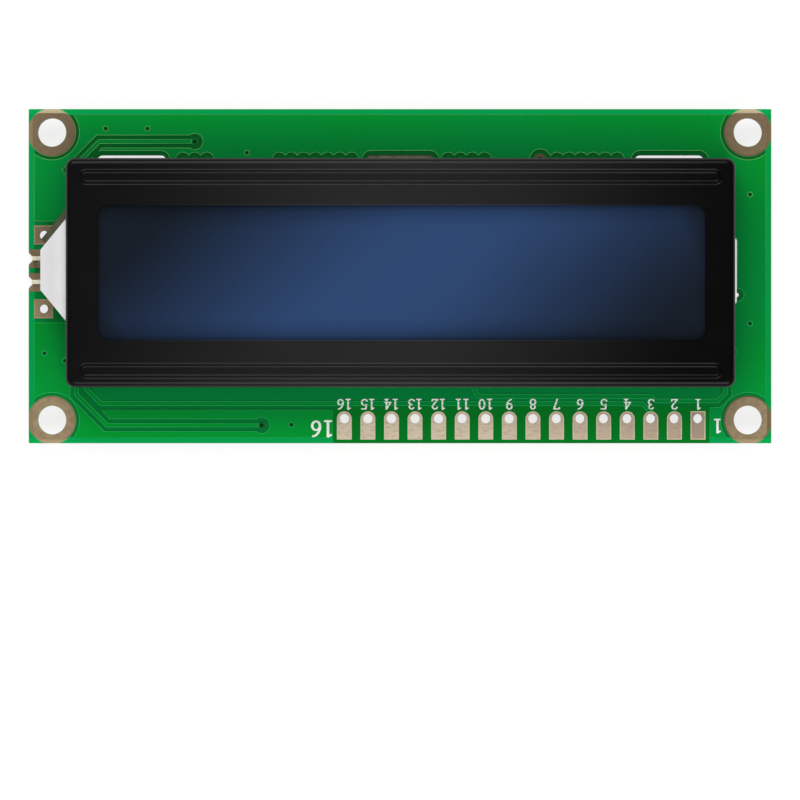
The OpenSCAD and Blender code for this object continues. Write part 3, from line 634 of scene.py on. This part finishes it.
def arc(x, y, rx, ry, start, end, steps=8):
    """Points along part of an ellipse, angles in degrees."""
    angles = [math.radians(start + (end - start) * i / steps) for i in range(steps + 1)]
    return [(x + rx * math.cos(a), y + ry * math.sin(a)) for a in angles]


def pad_ring(bm, width, bottom, ring, top_z, squared):
    """A flat ring just inside a pad that is round at the top and square at the bottom."""
    loops = []
    for grown in (-ring, 0.0):
        half = width / 2 + grown
        crown = [(half, half), (-half, half)] if squared else arc(0, 0, half, half, 0, 180, 16)
        points = [(half, -bottom - grown), *crown, (-half, -bottom - grown)]
        loops.append([bm.verts.new((x, y, top_z)) for x, y in points])
    inside, outside = loops
    for i in range(len(inside)):
        j = (i + 1) % len(inside)
        bm.faces.new((inside[i], outside[i], outside[j], inside[j]))


class MODULE_OT_pad_edges(bpy.types.Operator):
    """Add the bright line along the edge of each connection pad, where the solder ends"""

    bl_idname = "module.pad_edges"
    bl_label = "Bright edges of the pads"

    def execute(self, context):
        width = context.scene.board_settings.pad_edge
        finish = soft_finish("pad_edge", shown(216, 206, 172), 0.6, mottle=0.1, scale=1.2)
        bottom, top_z = PIN_Y - PADS_LOW.y, PADS_HIGH.z + 0.002 * MM
        ring = bmesh.new()
        pad_ring(ring, PAD_WIDTH, bottom, width, top_z, squared=False)
        model = add_piece("pad_edge", mesh_from(ring, "pad_edge"))
        tree = Tree(
            "Pad edges",
            Count="Int",
            Spacing="Float",
            Start="Vector",
            Piece="Object",
            Finish="Material",
        )
        offset = tree.node("ShaderNodeCombineXYZ", {"X": tree.given["Spacing"]})
        row = tree.node(
            "GeometryNodeMeshLine",
            {"Count": tree.given["Count"], "Start Location": tree.given["Start"], "Offset": offset},
        )
        shape = tree.node(
            "GeometryNodeObjectInfo", {"Object": tree.given["Piece"]}, output="Geometry"
        )
        rings = tree.node("GeometryNodeInstanceOnPoints", {"Points": row, "Instance": shape})
        piece = add_piece("pad_edges", bpy.data.meshes.new("pad_edges"))
        grow(
            piece,
            tree.finish(rings),
            Count=PIN_COUNT - 1,
            Spacing=-PIN_PITCH,
            Start=(FIRST_PIN_X - PIN_PITCH, PIN_Y, 0),
            Piece=model,
            Finish=finish.material,
        )
        bpy.data.objects.remove(model)
        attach(piece, "root")
        first = bmesh.new()
        pad_ring(first, PAD_WIDTH, bottom, width, top_z, squared=True)
        bmesh.ops.translate(first, verts=first.verts, vec=(FIRST_PIN_X, PIN_Y, 0))
        mesh = mesh_from(first, "first_pad_edge")
        square = add_piece("first_pad_edge", mesh, finish)
        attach(square, "root")
        return {"FINISHED"}


# ---- printing -----------------------------------------------------------------------------


# Each digit's strokes in a cell one unit high
DIGITS = {
    "0": [arc(0.3, 0.5, 0.22, 0.47, 0, 360, 14)],
    "1": [[(0.3, 0), (0.3, 1), (0.14, 0.88)], [(0.14, 0.01), (0.46, 0.01)]],
    "2": [[*arc(0.29, 0.74, 0.21, 0.23, 165, -35), (0.06, 0.03), (0.5, 0.03), (0.53, 0.16)]],
    "3": [arc(0.27, 0.75, 0.19, 0.22, 155, -90, 7), arc(0.26, 0.27, 0.23, 0.26, 90, -155, 8)],
    "4": [[(0.4, 0), (0.4, 0.98), (0.04, 0.28), (0.54, 0.28)], [(0.28, 0.01), (0.52, 0.01)]],
    "5": [[(0.5, 0.96), (0.15, 0.96), (0.11, 0.55)], arc(0.26, 0.31, 0.24, 0.3, 130, -150, 9)],
    "6": [arc(0.3, 0.3, 0.21, 0.28, 0, 360, 12), arc(0.52, 0.34, 0.43, 0.64, 178, 98, 6)],
    "7": [[(0.06, 0.84), (0.08, 0.96), (0.52, 0.96), (0.24, 0)]],
    "8": [arc(0.3, 0.75, 0.18, 0.22, 0, 360, 12), arc(0.3, 0.26, 0.22, 0.26, 0, 360, 12)],
    "9": [arc(0.3, 0.7, 0.21, 0.28, 0, 360, 12), arc(0.08, 0.66, 0.43, 0.64, -2, -82, 6)],
}
DIGIT_STEP = 0.64
DIGIT_STRETCH = 1.18
STROKE_LIFT = 0.0005 * MM  # keeps the tops of crossing strokes apart


def hull(points):
    """The convex outline of some points, anticlockwise."""
    points = sorted(set(points))
    chains = []
    for run in (points, points[::-1]):
        chain = []
        for p in run:
            while len(chain) > 1 and (
                (chain[-1][0] - chain[-2][0]) * (p[1] - chain[-2][1])
                - (chain[-1][1] - chain[-2][1]) * (p[0] - chain[-2][0])
            ) <= 0:
                chain.pop()
            chain.append(p)
        chains.append(chain[:-1])
    return chains[0] + chains[1]


def print_number(bm, text, centre, height, low_z, high_z):
    """Adds a number in a seriffed hand, upside down as the board is held, to a mesh."""
    pen_x, pen_y = 0.075 * height + 0.012 * MM, 0.045 * height + 0.02 * MM
    nib = [(pen_x * math.cos(a), pen_y * math.sin(a)) for a in (math.tau * i / 8 for i in range(8))]
    start = (len(text) - 1) * DIGIT_STEP / 2 + 0.3
    wide = height * DIGIT_STRETCH
    for place, digit in enumerate(text):
        lift = 0
        for stroke in DIGITS[digit]:
            line = [
                (
                    centre[0] - (x + place * DIGIT_STEP - start) * wide,
                    centre[1] - (y - 0.5) * height,
                )
                for x, y in stroke
            ]
            for a, b in zip(line, line[1:]):
                rim = hull([(p[0] + n[0], p[1] + n[1]) for p in (a, b) for n in nib])
                lift += STROKE_LIFT
                top = [bm.verts.new((x, y, high_z + lift)) for x, y in rim]
                low = [bm.verts.new((x, y, low_z)) for x, y in rim]
                bm.faces.new(top)
                bm.faces.new(low[::-1])
                for i in range(len(rim)):
                    j = (i + 1) % len(rim)
                    bm.faces.new((low[i], low[j], top[j], top[i]))


class MODULE_OT_printing(bpy.types.Operator):
    """Print a plain number at each connection pad and at both ends of the row"""

    bl_idname = "module.printing"
    bl_label = "Printed numbers"

    def execute(self, context):
        ink = context.scene.print_settings
        bm = bmesh.new()
        low_z, high_z = BOARD_TOP + 0.001 * MM, COPPER_TOP + 0.012 * MM
        row_y = PADS_HIGH.y + 0.75 * MM
        for pin in range(PIN_COUNT):
            place = (FIRST_PIN_X - pin * PIN_PITCH, row_y)
            print_number(bm, str(pin + 1), place, ink.number_height, low_z, high_z)
        end_y = PIN_Y - 1.1 * MM
        last = (FIRST_PIN_X - (PIN_COUNT - 1) * PIN_PITCH - 2.4 * MM, end_y)
        print_number(bm, str(PIN_COUNT), last, ink.row_height, low_z, high_z)
        first = (FIRST_PIN_X + 2.1 * MM, end_y + 0.3 * MM)
        print_number(bm, "1", first, ink.row_height * 0.85, low_z, high_z)
        finish = soft_finish("printing_ink", ink.ink, 0.6, mottle=0.04, scale=2.0)
        piece = add_piece("printed_numbers", mesh_from(bm, "printed_numbers"), finish)
        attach(piece, "root")
        return {"FINISHED"}


class MODULE_OT_bezel(bpy.types.Operator):
    """Paint the bezel: smooth black steel with a painted sheen along its middle, and a sheared edge
    round the window that is partly a painted highlight
    """

    bl_idname = "module.bezel"
    bl_label = "Bezel"

    def execute(self, context):
        tints = context.scene.bezel_settings
        paint = Finish("bezel_paint", Specular_IOR_Level=0.16)
        cloud = paint.noise(0.25, 4.0, (0.4, 1.6, 1.0))
        # Painted reflection: a sheen band across the face's middle that leans with height; it is
        # kept off the walls and dimmed in the grooves as painted shade.
        centre = paint.y * 0.2 - 1.0
        painted_sheen_amount = 1 - abs(paint.x - centre).step(2.0, 36.0)
        # Painted light: the black is paler at the left end and pure black at the right.
        painted_paler_left = tuple(c * 3 for c in tints.paint)
        black = paint.mix(paint.x.step(-34.0, 34.0), painted_paler_left, (0, 0, 0))
        top_z = BEZEL_HIGH.z / MM
        wall = 1 - paint.z.step(top_z - 0.7, top_z - 0.3)
        sunk = (1 - paint.z.step(top_z - 0.12, top_z - 0.04)) * 0.3
        painted_sheen_amount = painted_sheen_amount * (cloud * 0.3 + 0.85) * (1 - sunk.most(wall * 0.6))
        coat = paint.mix(painted_sheen_amount, black, tints.sheen)
        middle_x = (BEZEL_LOW.x + BEZEL_HIGH.x) / 2 / MM + tints.window_shift / MM
        middle_y = (BEZEL_LOW.y + BEZEL_HIGH.y) / 2 / MM
        break_width = 0.13
        past_end = abs(paint.x - middle_x) - (tints.window_length / 2 / MM + break_width)
        past_side = abs(paint.y - middle_y) - (tints.window_width / 2 / MM + break_width)
        on_face = paint.z.step(top_z - 0.03, top_z - 0.01)
        inside = (1 - past_end.most(past_side).step(-0.02, 0.0)) * (1 - on_face)
        # The sheared edge's bare steel shows only where the painted sheen is, so it is partly a
        # painted highlight.
        paint.set("Base Color", paint.mix(inside * painted_sheen_amount * 0.35, coat, tints.worn_edge))
        paint.set("Roughness", (cloud - 0.5) * 0.1 + 0.3)
        peel = paint.noise(1.4, 3.0) + paint.noise(7.0, 2.0) * 0.25
        paint.relief(peel, 0.004 * MM)
        bm = welded_copy("bezel")
        bmesh.ops.dissolve_limit(bm, angle_limit=math.radians(0.5), verts=bm.verts, edges=bm.edges)
        mesh = mesh_from(bm, "bezel_shell")
        for face in mesh.polygons:
            face.use_smooth = True
        mesh.set_sharp_from_angle(angle=math.radians(32))
        piece = add_piece("bezel_shell", mesh, paint)
        weighted = piece.modifiers.new("Even shading", "WEIGHTED_NORMAL")
        weighted.keep_sharp = True
        weighted.weight = 80
        make_real(piece)
        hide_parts("bezel")
        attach(piece, "root")
        return {"FINISHED"}


class MODULE_OT_display(bpy.types.Operator):
    """Finish the display cell: blue film with a painted reflection and painted shade along the
    window's edges, glass, seal and rubber connectors
    """

    bl_idname = "module.display"
    bl_label = "Display cell"

    def execute(self, context):
        tints = context.scene.cell_settings
        film = Finish("polarizer_film", Roughness=0.12, Specular_IOR_Level=0.12)
        # Painted reflection: a blue sheen painted along a leaning band that wobbles with noise,
        # falling off to the dark slate of the ends.
        drift = film.noise(0.05, 1.0)
        centre = film.y * tints.sheen_lean + 0.8 + (drift - 0.5) * 6
        off = abs(film.x - centre) / (tints.sheen_reach / MM)
        off = off.most(abs(film.x - 0.4).step(22.0, 34.0))
        middle, end = tuple(tints.film_middle), tuple(tints.film_end)
        reflection_falloff = {0.0: 1.0, 0.2: 0.98, 0.375: 0.72, 0.53: 0.5, 0.75: 0.22, 0.875: 0.09, 1.0: 0.0}
        stops = [
            (at, tuple(m * f + e * (1 - f) for m, e in zip(middle, end)))
            for at, f in reflection_falloff.items()
        ]
        blue = film.node("ShaderNodeValToRGB", {"Fac": off}, stops=stops)
        # Painted shade: the film darkens along the window's long edges, where the bezel shades it.
        rim = abs(film.y - 0.3).step(4.6, 7.4)
        film.set("Base Color", film.mix(rim * 0.38, blue, tuple(c * 0.35 for c in end)))
        dress("front_polarizer", film)
        clear = dict(Transmission_Weight=0.9, IOR=1.5)
        front, rear = (0.8, 0.9, 0.88), (0.78, 0.88, 0.86)
        dress("front_glass", soft_finish("display_glass", front, 0.05, mottle=0.02, **clear))
        dress("rear_glass", soft_finish("rear_glass", rear, 0.05, mottle=0.02, **clear))
        dress("cell_seal", soft_finish("cell_seal", (0.8, 0.8, 0.76), 0.6))
        dress("rear_polarizer", soft_finish("rear_film", (0.15, 0.17, 0.35), 0.25))
        rubber = Finish("rubber_strip", Roughness=0.7)
        layers = (rubber.x * 60).math("SINE").step(-0.3, 0.3)
        rubber.set("Base Color", rubber.mix(layers, shown(40, 40, 40), shown(178, 182, 188)))
        dress("upper_connector_strip", rubber)
        dress("lower_connector_strip", rubber)
        return {"FINISHED"}


class MODULE_OT_backlight(bpy.types.Operator):
    """Finish the backlight: milky guide lifted with painted light towards the bezel, films, tape,
    lamp and its leads
    """

    bl_idname = "module.backlight"
    bl_label = "Backlight"

    def execute(self, context):
        guide = Finish("guide_white", Roughness=0.35, Specular_IOR_Level=0.25)
        cloud = guide.noise(0.3, 2.0)
        # Painted light: the guide's white is lifted towards the bezel, where the bezel shades it.
        shade = guide.x.step(-37.6, -36.1)
        inner = guide.mix(shade, shown(223, 222, 224), shown(254, 254, 254))
        cloud = cloud.step(0.35, 0.75) * 0.15
        guide.set("Base Color", guide.mix(cloud, inner, shown(216, 216, 214)))
        guide.relief(guide.noise(1.2, 3.0), 0.004 * MM)
        dress("light_guide", guide)
        white = soft_finish("white_film", (0.9, 0.9, 0.9), 0.5, mottle=0.03)
        dress("diffuser", white)
        dress("reflector", white)
        tape = soft_finish("brown_tape", shown(84, 82, 58), 0.55, mottle=0.2, scale=1.5)
        dress("backlight_tape", tape)
        straw = (0.88, 0.86, 0.62)
        resin = soft_finish("lamp_resin", straw, 0.15, mottle=0.05, Transmission_Weight=0.4)
        dress("backlight_lamp", resin)
        wire = soft_finish("tinned_wire", shown(232, 226, 206), 0.35, 0.3, mottle=0.12, scale=2.5)
        dress("lamp_leads", wire)
        dress("chip_end_caps", wire)
        grey = shown(122, 116, 98)
        solder = soft_finish("solder", grey, 0.42, 0.4, mottle=0.25, grain=0.02, scale=1.4)
        dress("lead_solder", solder)
        dress("earth_solder", solder)
        return {"FINISHED"}


class MODULE_OT_rear_parts(bpy.types.Operator):
    """Finish the epoxy domes and the small parts on the rear"""

    bl_idname = "module.rear_parts"
    bl_label = "Rear parts"

    def execute(self, context):
        epoxy = Finish("black_epoxy", Specular_IOR_Level=0.5)
        cloud = epoxy.noise(0.22, 3.0)
        epoxy.set("Base Color", epoxy.mix(cloud, (0.010, 0.010, 0.011), (0.022, 0.021, 0.020)))
        epoxy.set("Roughness", cloud.step(0.3, 0.75) * 0.2 + 0.12)
        epoxy.relief(epoxy.noise(0.35, 2.0), 0.05 * MM)
        dress("driver_domes", epoxy)
        dress("chip_resistors", soft_finish("chip_black", (0.03, 0.03, 0.035), 0.25, mottle=0.2))
        dress("chip_capacitors", soft_finish("chip_tan", (0.5, 0.38, 0.24), 0.35, mottle=0.12))
        return {"FINISHED"}


# The stage, in metres
FLOOR_SIZE = 3.0
LAMP_SIZE = 0.42
LAMPS = {"lamp_upper": (-0.12, 0.5, 0.6), "lamp_lower": (0.1, -0.52, 0.6)}


class MODULE_OT_stage(bpy.types.Operator):
    """Set the floor, the soft lamps, the even sky and the camera straight above"""

    bl_idname = "module.stage"
    bl_label = "Stage and camera"

    def execute(self, context):
        scene = context.scene
        stage = scene.stage_settings
        scene.view_settings.view_transform = "Standard"
        bm = bmesh.new()
        bmesh.ops.create_grid(bm, x_segments=1, y_segments=1, size=FLOOR_SIZE)
        floor = add_piece("floor", mesh_from(bm, "floor"))
        paper = Finish("floor_paper", Roughness=1.0, Specular_IOR_Level=0.0)
        grain = paper.noise(0.05, 2.0)
        paper.set("Base Color", paper.mix(grain, (0.29, 0.29, 0.29), (0.31, 0.31, 0.31)))
        seen = seen_by_eye(paper)
        paper.set("Emission Color", paper.mix(seen, (0, 0, 0), (1, 1, 1)))
        paper.set("Emission Strength", stage.floor_glow)
        floor.data.materials.append(paper.material)
        for name, place in LAMPS.items():
            light = bpy.data.lights.new(name, "AREA")
            light.size = LAMP_SIZE
            light.energy = stage.lamp_power
            lamp = bpy.data.objects.new(name, light)
            scene.collection.objects.link(lamp)
            lamp.location = place
            lamp.rotation_euler = Vector(place).to_track_quat("Z", "Y").to_euler()
        world = bpy.data.worlds.new("even_sky")
        scene.world = world
        world.use_nodes = True
        nodes, links = world.node_tree.nodes, world.node_tree.links
        nodes.clear()
        rays = nodes.new("ShaderNodeLightPath")
        last = None
        for strength, ray in (
            (stage.sky, None),
            (stage.mirrored_sky, "Is Glossy Ray"),
            (1.0, "Is Transmission Ray"),
            (1.0, "Is Camera Ray"),
        ):
            glow = nodes.new("ShaderNodeBackground")
            glow.inputs["Color"].default_value = (1, 1, 1, 1)
            glow.inputs["Strength"].default_value = strength
            if last is None:
                last = glow.outputs[0]
                continue
            choose = nodes.new("ShaderNodeMixShader")
            links.new(rays.outputs[ray], choose.inputs["Fac"])
            links.new(last, choose.inputs[1])
            links.new(glow.outputs[0], choose.inputs[2])
            last = choose.outputs[0]
        result = nodes.new("ShaderNodeOutputWorld")
        links.new(last, result.inputs["Surface"])
        eye = bpy.data.cameras.new("camera")
        eye.lens = stage.lens
        eye.clip_start = 0.01
        camera = bpy.data.objects.new("camera", eye)
        scene.collection.objects.link(camera)
        camera.location = (0, -stage.camera_drop, BOARD_TOP + stage.camera_height)
        scene.camera = camera
        return {"FINISHED"}


def seen_by_eye(finish):
    """1 for rays from the camera, a glossy surface or a clear one."""
    rays = [
        finish.node("ShaderNodeLightPath", output=name)
        for name in ("Is Camera Ray", "Is Glossy Ray", "Is Transmission Ray")
    ]
    return rays[0].most(rays[1]).most(rays[2])


# ---- registration -------------------------------------------------------------------------

GROUPS = {
    "board_settings": BoardSettings,
    "print_settings": PrintSettings,
    "bezel_settings": BezelSettings,
    "cell_settings": CellSettings,
    "stage_settings": StageSettings,
}
OPERATORS = (
    MODULE_OT_board,
    MODULE_OT_copper_edges,
    MODULE_OT_plating,
    MODULE_OT_via_plugs,
    MODULE_OT_pad_edges,
    MODULE_OT_printing,
    MODULE_OT_bezel,
    MODULE_OT_display,
    MODULE_OT_backlight,
    MODULE_OT_rear_parts,
    MODULE_OT_stage,
)


class MODULE_PT_dressing(bpy.types.Panel):
    """Lists the operators and their settings"""

    bl_idname = "MODULE_PT_dressing"
    bl_label = "Display module"
    bl_space_type = "VIEW_3D"
    bl_region_type = "UI"
    bl_category = "Display module"

    def draw(self, context):
        for operator in OPERATORS:
            self.layout.operator(operator.bl_idname)
        for group, kind in GROUPS.items():
            box = self.layout.box()
            for setting in kind.__annotations__:
                box.prop(getattr(context.scene, group), setting)


def register():
    for group, kind in GROUPS.items():
        bpy.utils.register_class(kind)
        setattr(bpy.types.Scene, group, bpy.props.PointerProperty(type=kind))
    for made in (*OPERATORS, MODULE_PT_dressing):
        bpy.utils.register_class(made)


def unregister():
    for made in (MODULE_PT_dressing, *reversed(OPERATORS)):
        bpy.utils.unregister_class(made)
    for group, kind in reversed(GROUPS.items()):
        delattr(bpy.types.Scene, group)
        bpy.utils.unregister_class(kind)


def main():
    register()
    for operator in OPERATORS:
        family, name = operator.bl_idname.split(".")
        getattr(getattr(bpy.ops, family), name)()


if __name__ == "__main__":
    main()
